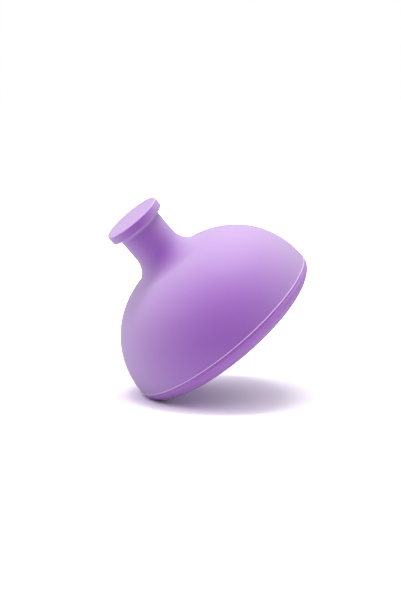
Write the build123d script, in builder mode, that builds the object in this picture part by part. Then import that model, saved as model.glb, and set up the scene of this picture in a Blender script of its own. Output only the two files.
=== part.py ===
"""Silicone cupping cup: a squeezable bell on a curled-in lip, with a lined neck and a pull-out vent stopper.

The cup stands mouth down on z = 0 and its axis is Z. Every piece is a body of revolution.
"""

import os
from math import asin, degrees, sqrt

from build123d import *

# Driving dimensions, mm
wall = 2.9
seam_height = 5.65  # where the bell meets the lip, above the surface the cup stands on

rim_radius = 32.35  # outside of the bell at the seam
flash_radius = 32.5  # a fine raised line of moulding flash along the bell's bottom edge
flash_height = 0.35
flash_rounding = 0.1
dome_arc_radius = 25.6  # the dome's section is one arc, which starts upright above the flash

lip_radius = 32.55  # the lip bulges a little further out than the bell
lip_inset = 9.05  # how far the lip curls in before it lies flat
lip_land = 1.2  # width of the flat ring that rests on the skin
seam_groove_radius = 32.1  # the lip is drawn in just under the seam
seam_groove_height = 1.0

neck_radius = 7.17
neck_top = seam_height + 40.55
neck_blend = 7.5  # concave radius between dome and neck
flare_radius = 8.0  # the neck widens again under the disc
flare_height = 1.4
neck_bore_radius = 5.65

disc_radius = 9.37
disc_thickness = 3.0
disc_rounding = 0.35

tongue_inner_radius = 30.3
tongue_outer_radius = 31.5
tongue_height = 1.5
bond_gap = 0.05  # room for adhesive on each side of the tongue

bush_clearance = 0.05
bush_inner_radius = 4.6
bush_recess = 0.3
flange_radius = 8.0
flange_thickness = 1.2
flange_seat_radius = 8.2
flange_seat_height = seam_height + 24.25

stem_clearance = 0.05
stem_core_radius = 3.9
stem_length = 12.6
bead_count = 3
bead_length = 1.3
stem_tip_rounding = 0.8

# Worked out from those
dome_centre_radius = rim_radius - dome_arc_radius
dome_centre_height = seam_height + flash_height
cavity_arc_radius = dome_arc_radius - wall
cavity_radius = rim_radius - wall
neck_root_height = dome_centre_height + sqrt(
    dome_arc_radius**2 - (neck_radius - dome_centre_radius) ** 2
)
lip_centre_radius = lip_radius - lip_inset
lip_cavity_width = cavity_radius - lip_centre_radius
lip_edge_radius = wall / 2
land_inner_radius = lip_centre_radius - lip_land
seam_groove_angle = degrees(asin(seam_groove_height / seam_height))
bush_radius = neck_bore_radius - bush_clearance
bead_outer_radius = bush_inner_radius - stem_clearance

os.makedirs("parts", exist_ok=True)


# The bell: dome and neck in one soft moulding, with a groove for the lip's tongue
with BuildPart() as bell:
    with BuildSketch(Plane.XZ):
        with BuildLine():
            dome = CenterArc(
                (dome_centre_radius, dome_centre_height), dome_arc_radius, 0, 90
            )
            Polyline(
                dome @ 1,
                (0, (dome @ 1).Y),
                (0, seam_height),
                (rim_radius, seam_height),
                dome @ 0,
            )
        make_face()
        with Locations((0, seam_height)):
            Rectangle(
                neck_radius, neck_top - seam_height, align=(Align.MIN, Align.MIN)
            )
        neck_root = vertices().sort_by_distance((neck_radius, neck_root_height))[0]
        fillet(neck_root, neck_blend)
        with BuildLine():
            flare = TangentArc(
                (neck_radius, neck_top - flare_height),
                (flare_radius, neck_top),
                tangent=(0, 1),
            )
            Polyline(flare @ 1, (0, neck_top), (0, neck_top - flare_height), flare @ 0)
        make_face()
    revolve(axis=Axis.Z)
    with BuildSketch(Plane.XY.offset(seam_height)):
        Circle(flash_radius)
    extrude(amount=flash_height)
    flash_edge = bell.edges().filter_by(GeomType.CIRCLE).sort_by(Axis.Z)[0]
    fillet(flash_edge, flash_rounding)
    with BuildSketch(Plane.XZ):
        with BuildLine():
            cavity = CenterArc(
                (dome_centre_radius, dome_centre_height), cavity_arc_radius, 0, 90
            )
            Polyline(
                cavity @ 1,
                (0, (cavity @ 1).Y),
                (0, seam_height),
                (cavity_radius, seam_height),
                cavity @ 0,
            )
        make_face()
    revolve(axis=Axis.Z, mode=Mode.SUBTRACT)
    with BuildSketch(Plane.XY.offset(seam_height)):
        Circle(flange_seat_radius)
    extrude(amount=flange_seat_height - seam_height, mode=Mode.SUBTRACT)
    with BuildSketch(Plane.XY.offset(seam_height)):
        Circle(neck_bore_radius)
    extrude(amount=neck_top - seam_height, mode=Mode.SUBTRACT)
    with BuildSketch(Plane.XY.offset(seam_height)):
        Circle(tongue_outer_radius + bond_gap)
        Circle(tongue_inner_radius - bond_gap, mode=Mode.SUBTRACT)
    extrude(amount=tongue_height + bond_gap, mode=Mode.SUBTRACT)
bell.part.label = "bell"


# The lip: a soft ring that curls in under the seam and rests on the skin
with BuildPart() as lip_ring:
    with BuildSketch(Plane.XZ):
        with BuildLine():
            outside = EllipticalCenterArc(
                (lip_centre_radius, seam_height),
                lip_inset,
                seam_height,
                start_angle=270,
                arc_size=90 - seam_groove_angle,
            )
            inside = EllipticalCenterArc(
                (lip_centre_radius, seam_height),
                lip_cavity_width,
                seam_height - wall,
                start_angle=270,
                arc_size=90,
            )
            Polyline(outside @ 1, (seam_groove_radius, seam_height), inside @ 1)
            underside = Line(outside @ 0, (land_inner_radius, 0))
            topside = Line(inside @ 0, (land_inner_radius, wall))
            ThreePointArc(
                underside @ 1, (land_inner_radius - lip_edge_radius, wall / 2), topside @ 1
            )
        make_face()
    revolve(axis=Axis.Z)
    with BuildSketch(Plane.XY.offset(seam_height)):
        Circle(tongue_outer_radius)
        Circle(tongue_inner_radius, mode=Mode.SUBTRACT)
    extrude(amount=tongue_height)
lip_ring.part.label = "lip_ring"


# The bush: a stiff liner that keeps the soft neck round, held from below by its flange
with BuildPart() as neck_bush:
    flange_bottom = flange_seat_height - bush_clearance - flange_thickness
    with BuildSketch(Plane.XY.offset(flange_bottom)):
        Circle(flange_radius)
        Circle(bush_inner_radius, mode=Mode.SUBTRACT)
    extrude(amount=flange_thickness)
    with BuildSketch(Plane.XY.offset(flange_bottom)):
        Circle(bush_radius)
        Circle(bush_inner_radius, mode=Mode.SUBTRACT)
    extrude(amount=neck_top - bush_recess - flange_bottom)
    ends = neck_bush.edges().filter_by(GeomType.CIRCLE).group_by(Axis.Z)
    chamfer(ends[-1], 0.25)
    chamfer(ends[0], 0.25)
neck_bush.part.label = "neck_bush"


# The stopper: a finger disc on a ringed stem, pulled out to let air back in
with BuildPart() as vent_stopper:
    with BuildSketch(Plane.XY.offset(neck_top)):
        Circle(disc_radius)
    extrude(amount=disc_thickness)
    fillet(vent_stopper.edges().filter_by(GeomType.CIRCLE), disc_rounding)
    with BuildSketch(Plane.XY.offset(neck_top - stem_length)):
        Circle(stem_core_radius)
    extrude(amount=stem_length)
    tip = vent_stopper.edges().filter_by(GeomType.CIRCLE).sort_by(Axis.Z)[0]
    fillet(tip, stem_tip_rounding)
    bead_pitch = stem_length / (bead_count + 0.5)
    for bead in range(bead_count):
        bead_bottom = neck_top - bead_pitch * (bead + 0.25) - bead_length
        with BuildSketch(Plane.XZ):
            with BuildLine():
                bead_arc = ThreePointArc(
                    (stem_core_radius, bead_bottom),
                    (bead_outer_radius, bead_bottom + bead_length / 2),
                    (stem_core_radius, bead_bottom + bead_length),
                )
                Polyline(
                    bead_arc @ 1,
                    (0, bead_bottom + bead_length),
                    (0, bead_bottom),
                    bead_arc @ 0,
                )
            make_face()
        revolve(axis=Axis.Z)
vent_stopper.part.label = "vent_stopper"


for piece in (bell, lip_ring, neck_bush, vent_stopper):
    export_step(piece.part, f"parts/{piece.part.label}.step")
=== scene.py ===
"""Looks for the silicone cupping cup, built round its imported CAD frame. Metres, +Z up the cup's axis."""

import math

import bpy
from mathutils import Matrix, Vector, noise


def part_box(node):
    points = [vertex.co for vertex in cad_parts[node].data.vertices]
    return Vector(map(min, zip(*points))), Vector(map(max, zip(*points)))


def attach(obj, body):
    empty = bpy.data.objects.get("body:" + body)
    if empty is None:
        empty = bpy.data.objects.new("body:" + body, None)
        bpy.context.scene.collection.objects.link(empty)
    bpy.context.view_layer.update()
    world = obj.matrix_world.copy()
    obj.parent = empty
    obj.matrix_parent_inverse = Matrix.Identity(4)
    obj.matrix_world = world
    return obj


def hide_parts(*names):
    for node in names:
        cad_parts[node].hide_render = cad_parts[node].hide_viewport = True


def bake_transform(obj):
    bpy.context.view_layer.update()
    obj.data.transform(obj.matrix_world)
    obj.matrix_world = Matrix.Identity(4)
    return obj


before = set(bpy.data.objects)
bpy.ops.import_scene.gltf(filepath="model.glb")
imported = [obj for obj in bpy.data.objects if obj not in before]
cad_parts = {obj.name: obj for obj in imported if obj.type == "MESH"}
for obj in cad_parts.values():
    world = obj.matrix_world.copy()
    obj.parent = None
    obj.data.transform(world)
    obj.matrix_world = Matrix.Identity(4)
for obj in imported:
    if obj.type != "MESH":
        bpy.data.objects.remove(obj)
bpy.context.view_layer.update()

MM = 0.001
SEGMENTS = 224  # steps round the axis in each turned piece

# Sizes that the frame gives
bell_low, bell_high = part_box("bell")
bush_low, bush_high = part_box("neck_bush")
stopper_low, stopper_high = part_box("vent_stopper")
SEAM = bell_low.z
NECK_TOP = bell_high.z
FLASH_RADIUS = bell_high.x
DISC_RADIUS = stopper_high.x
DISC_TOP = stopper_high.z
STEM_BOTTOM = stopper_low.z
BUSH_BOTTOM = bush_low.z
BUSH_TOP = bush_high.z
FLANGE_RADIUS = bush_high.x

# Sizes that repeat the CAD model's
WALL = 2.9 * MM
RIM_RADIUS = 32.35 * MM
DOME_ARC = 25.6 * MM
DOME_OFFSET = RIM_RADIUS - DOME_ARC
CAVITY_ARC = DOME_ARC - WALL
CAVITY_RADIUS = RIM_RADIUS - WALL
FLASH_HEIGHT = 0.35 * MM
FLASH_ROUNDING = 0.1 * MM
FLASH_TOP = FLASH_HEIGHT + 0.05 * MM  # where the drawn ridge has faded into the dome
DOME_BASE = SEAM + FLASH_HEIGHT
NECK_RADIUS = 7.17 * MM
NECK_BORE = 5.65 * MM
NECK_BLEND = 7.5 * MM
FLARE_RADIUS = 8.0 * MM
FLARE_HEIGHT = 1.4 * MM
LIP_RADIUS = 32.55 * MM
LIP_INSET = 9.05 * MM
LIP_LAND = 1.2 * MM
GROOVE_RADIUS = 32.1 * MM
GROOVE_HEIGHT = 1.0 * MM
TONGUE = (30.3 * MM, 31.5 * MM)
TONGUE_HEIGHT = 1.5 * MM
BOND_GAP = 0.05 * MM
BUSH_RADIUS = 5.6 * MM
BUSH_BORE = 4.6 * MM
FLANGE_THICKNESS = 1.2 * MM
FLANGE_SEAT = (8.2 * MM, SEAM + 24.25 * MM)
STEM_RADIUS = 3.9 * MM
STEM_BEAD_RADIUS = 4.55 * MM
STEM_BEADS = 3
STEM_BEAD_LENGTH = 1.3 * MM


# ---------------------------------------------------------------- profiles

def arc(centre, radii, start, end, steps):
    """Points (r, z) on an ellipse arc about a centre, from one angle to another in degrees."""
    turn = [math.radians(start + (end - start) * i / steps) for i in range(steps + 1)]
    return [(centre[0] + radii[0] * math.cos(a), centre[1] + radii[1] * math.sin(a)) for a in turn]


def line(a, b, steps):
    """Points on a straight line, both ends included."""
    return [tuple(p + (q - p) * i / steps for p, q in zip(a, b)) for i in range(steps + 1)]


def rounded(corner, radius, start, end, steps=6):
    """A quarter-turn edge of this radius, which rounds off a corner."""
    middle = math.radians((start + end) / 2)
    centre = (
        corner[0] - radius * math.copysign(1, math.cos(middle)),
        corner[1] - radius * math.copysign(1, math.sin(middle)),
    )
    return arc(centre, (radius, radius), start, end, steps)


def bell_profile():
    """Closed loop of the bell's half section, from the seam up over the neck and back down inside."""
    points = rounded((FLASH_RADIUS, SEAM), FLASH_ROUNDING, -90, 0)
    flash_fade = 6
    for i in range(1, flash_fade + 1):
        height = FLASH_ROUNDING + (FLASH_TOP - FLASH_ROUNDING) * i / flash_fade
        above = max(0, height - FLASH_HEIGHT)
        dome = DOME_OFFSET + math.sqrt(DOME_ARC**2 - above**2)
        stand = (FLASH_RADIUS - RIM_RADIUS) * (1 + math.cos(math.pi * i / flash_fade)) / 2
        points.append((dome + stand, SEAM + height))
    blend_radius = NECK_RADIUS + NECK_BLEND
    blend_height = math.sqrt((DOME_ARC + NECK_BLEND) ** 2 - (blend_radius - DOME_OFFSET) ** 2)
    meeting = math.degrees(math.atan2(blend_height, blend_radius - DOME_OFFSET))
    flash_turn = math.degrees(math.asin((FLASH_TOP - FLASH_HEIGHT) / DOME_ARC))
    points += arc((DOME_OFFSET, DOME_BASE), (DOME_ARC, DOME_ARC), flash_turn, meeting, 96)[1:]
    blend_centre = (blend_radius, DOME_BASE + blend_height)
    points += arc(blend_centre, (NECK_BLEND, NECK_BLEND), meeting + 180, 180, 32)[1:]
    flare_low = NECK_TOP - FLARE_HEIGHT
    points += line((NECK_RADIUS, blend_centre[1]), (NECK_RADIUS, flare_low), 10)[1:]
    reach = FLARE_RADIUS - NECK_RADIUS
    for i in range(1, 9):
        share = i / 8
        height = flare_low + (FLARE_HEIGHT - 0.15 * MM) * share
        points.append((NECK_RADIUS + reach * share**2, height))
    points += [(FLARE_RADIUS, NECK_TOP - 0.05 * MM), (FLARE_RADIUS - 0.1 * MM, NECK_TOP)]
    points += [(NECK_BORE + 0.2 * MM, NECK_TOP), (NECK_BORE, NECK_TOP - 0.2 * MM)]
    points += line((NECK_BORE, NECK_TOP - 0.2 * MM), (NECK_BORE, FLANGE_SEAT[1]), 10)[1:]
    points += [FLANGE_SEAT]
    seat_turn = math.degrees(math.acos((FLANGE_SEAT[0] - DOME_OFFSET) / CAVITY_ARC))
    points += arc((DOME_OFFSET, DOME_BASE), (CAVITY_ARC, CAVITY_ARC), seat_turn, 0, 64)
    points += [(CAVITY_RADIUS, SEAM)]
    groove_in, groove_out = TONGUE[0] - BOND_GAP, TONGUE[1] + BOND_GAP
    groove_top = SEAM + TONGUE_HEIGHT + BOND_GAP
    points += [(groove_in, SEAM), (groove_in, groove_top), (groove_out, groove_top), (groove_out, SEAM)]
    return points


def lip_profile():
    """Closed loop of the lip's half section, from the seam round the underside and back."""
    centre = (LIP_RADIUS - LIP_INSET, SEAM)
    land_end = centre[0] - LIP_LAND
    groove_turn = -math.degrees(math.asin(GROOVE_HEIGHT / SEAM))
    outside = arc(centre, (LIP_INSET, SEAM), groove_turn, -90, 60)
    points = line((GROOVE_RADIUS, SEAM), outside[0], 4)[:-1]
    points += outside
    points += line((centre[0], 0), (land_end, 0), 3)[1:]
    points += arc((land_end, WALL / 2), (WALL / 2, WALL / 2), -90, -270, 20)[1:]
    points += line((land_end, WALL), (centre[0], WALL), 3)[1:]
    points += arc(centre, (CAVITY_RADIUS - centre[0], SEAM - WALL), -90, 0, 32)[1:]
    tongue_top = SEAM + TONGUE_HEIGHT
    points += [(TONGUE[0], SEAM), (TONGUE[0], tongue_top), (TONGUE[1], tongue_top), (TONGUE[1], SEAM)]
    return points


def bush_profile():
    """Closed loop of the bush: a tube with a flange at its foot."""
    edge = 0.25 * MM
    flange_top = BUSH_BOTTOM + FLANGE_THICKNESS
    points = rounded((FLANGE_RADIUS, BUSH_BOTTOM), edge, -90, 0, 4)
    points += rounded((FLANGE_RADIUS, flange_top), edge, 0, 90, 4)
    points += [(BUSH_RADIUS, flange_top)]
    points += rounded((BUSH_RADIUS, BUSH_TOP), edge, 0, 90, 4)
    points += arc((BUSH_BORE + edge, BUSH_TOP - edge), (edge, edge), 90, 180, 4)
    points += arc((BUSH_BORE + edge, BUSH_BOTTOM + edge), (edge, edge), 180, 270, 4)
    return points


def stopper_profile():
    """Open run of the stopper's half section, from the disc's middle to the stem's tip, both on the axis."""
    edge = 0.38 * MM
    disc_bottom = NECK_TOP
    points = line((0, DISC_TOP), (DISC_RADIUS - edge, DISC_TOP), 12)
    points += rounded((DISC_RADIUS, DISC_TOP), edge, 90, 0, 8)[1:]
    points += line((DISC_RADIUS, DISC_TOP - edge), (DISC_RADIUS, disc_bottom + edge), 4)[1:]
    points += rounded((DISC_RADIUS, disc_bottom), edge, 0, -90, 8)[1:]
    points += [(STEM_RADIUS, disc_bottom)]
    pitch = (NECK_TOP - STEM_BOTTOM) / (STEM_BEADS + 0.5)
    bulge = STEM_BEAD_RADIUS - STEM_RADIUS
    for bead in range(STEM_BEADS):
        middle = NECK_TOP - pitch * (bead + 0.25) - STEM_BEAD_LENGTH / 2
        points += arc((STEM_RADIUS, middle), (bulge, STEM_BEAD_LENGTH / 2), 90, -90, 10)
    points += rounded((STEM_RADIUS, STEM_BOTTOM), 0.8 * MM, 0, -90, 8)
    points += [(0, STEM_BOTTOM)]
    return points


# ---------------------------------------------------------------- meshes

def turned(name, profile, closed):
    """A solid of revolution. A closed profile makes a ring; an open one starts and ends on the axis."""
    vertices, faces = [], []
    rows = []
    for radius, height in profile:
        if radius == 0:
            rows.append([len(vertices)])
            vertices.append((0, 0, height))
            continue
        rows.append(list(range(len(vertices), len(vertices) + SEGMENTS)))
        for i in range(SEGMENTS):
            turn = 2 * math.pi * i / SEGMENTS
            vertices.append((radius * math.cos(turn), radius * math.sin(turn), height))
    pairs = list(zip(rows, rows[1:]))
    if closed:
        pairs.append((rows[-1], rows[0]))
    for lower, upper in pairs:
        for i in range(SEGMENTS):
            j = (i + 1) % SEGMENTS
            if len(lower) == 1:
                faces.append((lower[0], upper[j], upper[i]))
            elif len(upper) == 1:
                faces.append((lower[i], lower[j], upper[0]))
            else:
                faces.append((lower[i], lower[j], upper[j], upper[i]))
    mesh = bpy.data.meshes.new(name)
    mesh.from_pydata(vertices, [], faces)
    mesh.validate()
    piece = bpy.data.objects.new(name, mesh)
    bpy.context.scene.collection.objects.link(piece)
    mesh.shade_smooth()
    mesh.set_sharp_from_angle(angle=math.radians(40))
    return piece


bell = turned("bell_soft", bell_profile(), closed=True)
lip = turned("lip_soft", lip_profile(), closed=True)
bush = turned("bush_liner", bush_profile(), closed=True)
stopper = turned("stopper_disc", stopper_profile(), closed=False)


# ---------------------------------------------------------------- materials

def node(tree, kind, **values):
    """A new node, with its named inputs set."""
    made = tree.nodes.new(kind)
    for name, value in values.items():
        made.inputs[name.replace("_", " ")].default_value = value
    return made


def silicone(name, base, deep, bloom=0.38):
    """Satin silicone: cloudy tone, a very fine grain, and a dry white bloom where the skin turns away."""
    material = bpy.data.materials.new(name)
    material.use_nodes = True
    tree = material.node_tree
    shader = tree.nodes["Principled BSDF"]
    shader.inputs["Subsurface Weight"].default_value = 0.4
    shader.inputs["Subsurface Radius"].default_value = (1.0, 0.4, 1.0)
    shader.inputs["Subsurface Scale"].default_value = 2.0 * MM
    shader.inputs["IOR"].default_value = 1.43
    place = tree.nodes.new("ShaderNodeTexCoord")
    cloud = node(tree, "ShaderNodeTexNoise", Scale=70.0, Detail=4.0, Roughness=0.55)
    grain = node(tree, "ShaderNodeTexNoise", Scale=5200.0, Detail=3.0, Roughness=0.6)
    tone = tree.nodes.new("ShaderNodeMix")
    tone.data_type = "RGBA"
    tone.inputs["A"].default_value = (*base, 1)
    tone.inputs["B"].default_value = (*deep, 1)
    polish = node(tree, "ShaderNodeMapRange")
    polish.inputs["To Min"].default_value = 0.52
    polish.inputs["To Max"].default_value = 0.62
    bump = node(tree, "ShaderNodeBump", Strength=0.18, Distance=0.03 * MM)
    powder = node(tree, "ShaderNodeBsdfAnisotropic", Color=(0.95, 0.95, 0.95, 1), Roughness=0.9)
    turned_away = node(tree, "ShaderNodeLayerWeight", Blend=0.7)
    share = tree.nodes.new("ShaderNodeMath")
    share.operation = "MULTIPLY"
    share.inputs[1].default_value = bloom
    mix = tree.nodes.new("ShaderNodeMixShader")
    links = tree.links
    links.new(place.outputs["Object"], cloud.inputs["Vector"])
    links.new(place.outputs["Object"], grain.inputs["Vector"])
    links.new(cloud.outputs["Fac"], tone.inputs["Factor"])
    links.new(tone.outputs["Result"], shader.inputs["Base Color"])
    links.new(cloud.outputs["Fac"], polish.inputs["Value"])
    links.new(polish.outputs["Result"], shader.inputs["Roughness"])
    links.new(grain.outputs["Fac"], bump.inputs["Height"])
    links.new(bump.outputs["Normal"], shader.inputs["Normal"])
    links.new(bump.outputs["Normal"], powder.inputs["Normal"])
    links.new(turned_away.outputs["Facing"], share.inputs[0])
    links.new(share.outputs["Value"], mix.inputs["Fac"])
    links.new(shader.outputs["BSDF"], mix.inputs[1])
    links.new(powder.outputs["BSDF"], mix.inputs[2])
    links.new(mix.outputs["Shader"], tree.nodes["Material Output"].inputs["Surface"])
    return material


def bush_plastic():
    """Pale stiff plastic with a fine moulded texture."""
    material = bpy.data.materials.new("bush_plastic")
    material.use_nodes = True
    tree = material.node_tree
    shader = tree.nodes["Principled BSDF"]
    place = tree.nodes.new("ShaderNodeTexCoord")
    grain = node(tree, "ShaderNodeTexNoise", Scale=2500.0, Detail=2.0)
    tone = node(tree, "ShaderNodeValToRGB")
    tone.color_ramp.elements[0].color = (0.66, 0.60, 0.74, 1)
    tone.color_ramp.elements[1].color = (0.74, 0.69, 0.81, 1)
    bump = node(tree, "ShaderNodeBump", Strength=0.2, Distance=0.03 * MM)
    shader.inputs["Roughness"].default_value = 0.42
    tree.links.new(place.outputs["Object"], grain.inputs["Vector"])
    tree.links.new(grain.outputs["Fac"], tone.inputs["Fac"])
    tree.links.new(tone.outputs["Color"], shader.inputs["Base Color"])
    tree.links.new(grain.outputs["Fac"], bump.inputs["Height"])
    tree.links.new(bump.outputs["Normal"], shader.inputs["Normal"])
    return material


LILAC = (0.405, 0.163, 0.600)
LILAC_DEEP = (0.385, 0.151, 0.575)
# The lip's lilac is the cup's silicone colour painted about an eighth lighter: painted light that brightens
# the whole lip.
LIP_PAINTED_LIGHT_LILAC = (0.46, 0.178, 0.640)
LIP_PAINTED_LIGHT_LILAC_DEEP = (0.44, 0.166, 0.615)
# Painted highlight: a paler lilac on the disc's rounded top and bottom edges stands in for the light those
# edges catch.
EDGE_HIGHLIGHT_LILAC = (0.62, 0.30, 0.80)
EDGE_HIGHLIGHT_LILAC_DEEP = (0.58, 0.27, 0.77)
# Painted highlight: a pale lilac along the seam's thin flash ridge stands in for the light the ridge
# catches.
FLASH_HIGHLIGHT_LILAC = (0.84, 0.54, 0.96)
FLASH_HIGHLIGHT_LILAC_DEEP = (0.80, 0.50, 0.93)
FLASH_HIGHLIGHT_SHARE = 0.8  # how far up the ridge the pale colour goes
EDGE_HIGHLIGHT_WIDTH = 0.32 * MM  # how wide the pale edges of the disc are
bell.data.materials.append(silicone("silicone_bell", LILAC, LILAC_DEEP))
# The flash ridge's outer faces take the pale painted-highlight lilac.
bell.data.materials.append(silicone("silicone_flash_highlight", FLASH_HIGHLIGHT_LILAC, FLASH_HIGHLIGHT_LILAC_DEEP))
for face in bell.data.polygons:
    outside = face.center.xy.length > RIM_RADIUS - BOND_GAP
    if outside and face.center.z < SEAM + FLASH_HIGHLIGHT_SHARE * FLASH_HEIGHT:
        face.material_index = 1
lip.data.materials.append(silicone("silicone_lip", LIP_PAINTED_LIGHT_LILAC, LIP_PAINTED_LIGHT_LILAC_DEEP, bloom=0.16))
stopper.data.materials.append(silicone("silicone_stopper", LILAC, LILAC_DEEP, bloom=0.36))
stopper.data.materials.append(silicone("silicone_edge_highlight", EDGE_HIGHLIGHT_LILAC, EDGE_HIGHLIGHT_LILAC_DEEP))
# The disc's rounded edges take the painted-highlight lilac.
for face in stopper.data.polygons:
    outside = face.center.xy.length > DISC_RADIUS - EDGE_HIGHLIGHT_WIDTH
    from_middle = abs(face.center.z - (DISC_TOP + NECK_TOP) / 2)
    if outside and from_middle > (DISC_TOP - NECK_TOP) / 2 - EDGE_HIGHLIGHT_WIDTH:
        face.material_index = 1
bush.data.materials.append(bush_plastic())


# ---------------------------------------------------------------- riding

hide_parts("bell")
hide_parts("lip_ring")
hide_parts("neck_bush")
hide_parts("vent_stopper")
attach(lip, "cup")
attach(bush, "neck")
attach(stopper, "stopper")
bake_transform(bell)


# ---------------------------------------------------------------- camera, floor and light

# The cup leans on its lip: its axis tips 40 degrees to the left and 14 degrees towards the camera
TIP_TO_CAMERA = math.radians(14.03)
ROLL = math.atan2(0.6494, 0.7604)
CAMERA_DISTANCE = 737.25 * MM
CAMERA_ELEVATION = math.radians(9)
CAMERA_SHIFT_RIGHT = -0.396 * MM
CAMERA_SHIFT_UP = 9.05 * MM
CAMERA_LENS = 143.8

back = Vector((0, -math.cos(TIP_TO_CAMERA), math.sin(TIP_TO_CAMERA)))
cup_up = Vector((0, math.sin(TIP_TO_CAMERA), math.cos(TIP_TO_CAMERA)))
cup_right = Vector((1, 0, 0))
right = math.cos(ROLL) * cup_right - math.sin(ROLL) * cup_up
up = math.sin(ROLL) * cup_right + math.cos(ROLL) * cup_up

camera_data = bpy.data.cameras.new("camera")
camera_data.lens = CAMERA_LENS
camera_data.sensor_width = 36
camera_data.clip_start = 0.01
camera_data.clip_end = 20
camera = bpy.data.objects.new("camera", camera_data)
bpy.context.scene.collection.objects.link(camera)
aim = Vector((0, 0, DOME_BASE)) + CAMERA_SHIFT_RIGHT * cup_right + CAMERA_SHIFT_UP * cup_up
camera.location = aim + CAMERA_DISTANCE * back
camera_turn = Matrix((right, up, back)).transposed().to_4x4()
camera.matrix_world = Matrix.Translation(camera.location) @ camera_turn
bpy.context.scene.camera = camera

floor_up = math.cos(CAMERA_ELEVATION) * up + math.sin(CAMERA_ELEVATION) * back
floor_front = (back - back.dot(floor_up) * floor_up).normalized()
floor_right = floor_front.cross(floor_up) * -1


def floor_height():
    """How far along floor_up the lip's lowest point lies."""
    return min(floor_up.dot(vertex.co) for vertex in lip.data.vertices)


def facing(location, target, size_x, size_y, power, name):
    """A rectangular soft light at a place, aimed at a point."""
    data = bpy.data.lights.new(name, "AREA")
    data.shape = "RECTANGLE"
    data.size, data.size_y = size_x, size_y
    data.energy = power
    light = bpy.data.objects.new(name, data)
    bpy.context.scene.collection.objects.link(light)
    light.location = location
    z_axis = (location - target).normalized()
    x_axis = (right - right.dot(z_axis) * z_axis).normalized()
    y_axis = z_axis.cross(x_axis)
    turn = Matrix((x_axis, y_axis, z_axis)).transposed().to_4x4()
    light.matrix_world = Matrix.Translation(location) @ turn
    light.visible_camera = False
    return light


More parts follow.
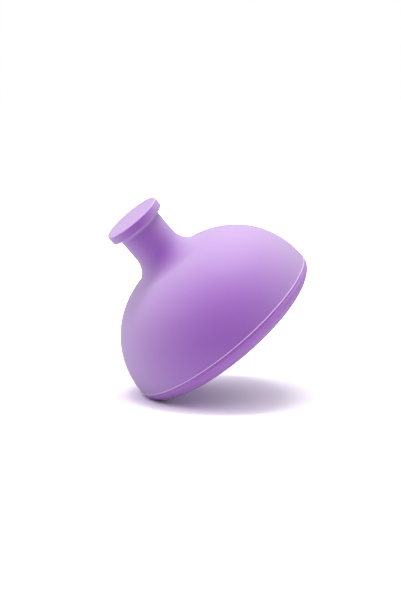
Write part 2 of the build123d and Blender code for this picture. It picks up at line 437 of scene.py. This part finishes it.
def white_floor():
    """A round pale floor under the leaning cup, seen from above only.

    The camera sees it over-exposed, more so far from the cup, with a faint lilac tint that paints a purple
    cast into the cup's shadow in place of light bounced from the cup. The rest of the scene sees a pale
    lilac floor, whose tint stands in for the same purple bounce light.
    """
    radius = 1.2
    corners = 96
    mesh = bpy.data.meshes.new("floor")
    turns = [2 * math.pi * i / corners for i in range(corners)]
    rim = [(radius * math.cos(a), radius * math.sin(a), 0) for a in turns]
    mesh.from_pydata(rim, [], [tuple(range(corners))])
    floor = bpy.data.objects.new("floor", mesh)
    bpy.context.scene.collection.objects.link(floor)
    turn = Matrix((floor_right, floor_front * -1, floor_up)).transposed().to_4x4()
    floor.matrix_world = Matrix.Translation(floor_up * floor_height()) @ turn
    material = bpy.data.materials.new("floor_white")
    material.use_nodes = True
    tree = material.node_tree
    tree.nodes.remove(tree.nodes["Principled BSDF"])
    # Painted light: this lilac tint stands in for purple light bounced off the cup, and colours what the
    # floor sends back onto the lip.
    lit = node(tree, "ShaderNodeBsdfDiffuse", Color=(0.68, 0.63, 0.74, 1))
    bright = tree.nodes.new("ShaderNodeBsdfDiffuse")
    place = tree.nodes.new("ShaderNodeTexCoord")
    reach = tree.nodes.new("ShaderNodeVectorMath")
    reach.operation = "LENGTH"
    fade = node(tree, "ShaderNodeMapRange")
    fade.inputs["From Min"].default_value = 0.05
    fade.inputs["From Max"].default_value = 0.20
    washed_out = tree.nodes.new("ShaderNodeMix")
    washed_out.data_type = "RGBA"
    # Painted light: the lilac tint near the cup colours its shadow purple in place of bounced light.
    washed_out.inputs["A"].default_value = (1.20, 1.16, 1.23, 1)
    washed_out.inputs["B"].default_value = (3, 3, 3, 1)
    clear = tree.nodes.new("ShaderNodeBsdfTransparent")
    path = tree.nodes.new("ShaderNodeLightPath")
    side = tree.nodes.new("ShaderNodeNewGeometry")
    exposure = tree.nodes.new("ShaderNodeMixShader")
    mix = tree.nodes.new("ShaderNodeMixShader")
    out = tree.nodes["Material Output"]
    tree.links.new(place.outputs["Object"], reach.inputs[0])
    tree.links.new(reach.outputs["Value"], fade.inputs["Value"])
    tree.links.new(fade.outputs["Result"], washed_out.inputs["Factor"])
    tree.links.new(washed_out.outputs["Result"], bright.inputs["Color"])
    tree.links.new(path.outputs["Is Camera Ray"], exposure.inputs["Fac"])
    tree.links.new(lit.outputs["BSDF"], exposure.inputs[1])
    tree.links.new(bright.outputs["BSDF"], exposure.inputs[2])
    tree.links.new(side.outputs["Backfacing"], mix.inputs["Fac"])
    tree.links.new(exposure.outputs["Shader"], mix.inputs[1])
    tree.links.new(clear.outputs["BSDF"], mix.inputs[2])
    tree.links.new(mix.outputs["Shader"], out.inputs["Surface"])
    mesh.materials.append(material)


white_floor()
middle = Vector((0, 0, 22 * MM))
above = middle + 0.8 * floor_up
to_the_left = middle + 0.45 * floor_up - 0.65 * floor_right
facing(above, middle, 0.40, 0.16, 3.1, "overhead_softbox")
facing(to_the_left, middle, 0.4, 0.3, 0.7, "left_softbox")

world = bpy.data.worlds.new("studio")
bpy.context.scene.world = world
world.use_nodes = True
sky = world.node_tree
place = sky.nodes.new("ShaderNodeTexCoord")
climb = sky.nodes.new("ShaderNodeVectorMath")
climb.operation = "DOT_PRODUCT"
climb.inputs[1].default_value = floor_up
glow = sky.nodes.new("ShaderNodeMapRange")
glow.inputs["From Min"].default_value = 0.05
glow.inputs["To Min"].default_value = 0.12
glow.inputs["To Max"].default_value = 1.30
background = sky.nodes["Background"]
background.inputs["Color"].default_value = (1, 1, 1, 1)
seen = sky.nodes.new("ShaderNodeBackground")
seen.inputs["Color"].default_value = (1, 1, 1, 1)
seen.inputs["Strength"].default_value = 1.0
path = sky.nodes.new("ShaderNodeLightPath")
choose = sky.nodes.new("ShaderNodeMixShader")
sky.links.new(place.outputs["Generated"], climb.inputs[0])
sky.links.new(climb.outputs["Value"], glow.inputs["Value"])
sky.links.new(glow.outputs["Result"], background.inputs["Strength"])
sky.links.new(path.outputs["Is Camera Ray"], choose.inputs["Fac"])
sky.links.new(background.outputs["Background"], choose.inputs[1])
sky.links.new(seen.outputs["Background"], choose.inputs[2])
sky.links.new(choose.outputs["Shader"], sky.nodes["World Output"].inputs["Surface"])
bpy.context.scene.view_settings.view_transform = "Standard"
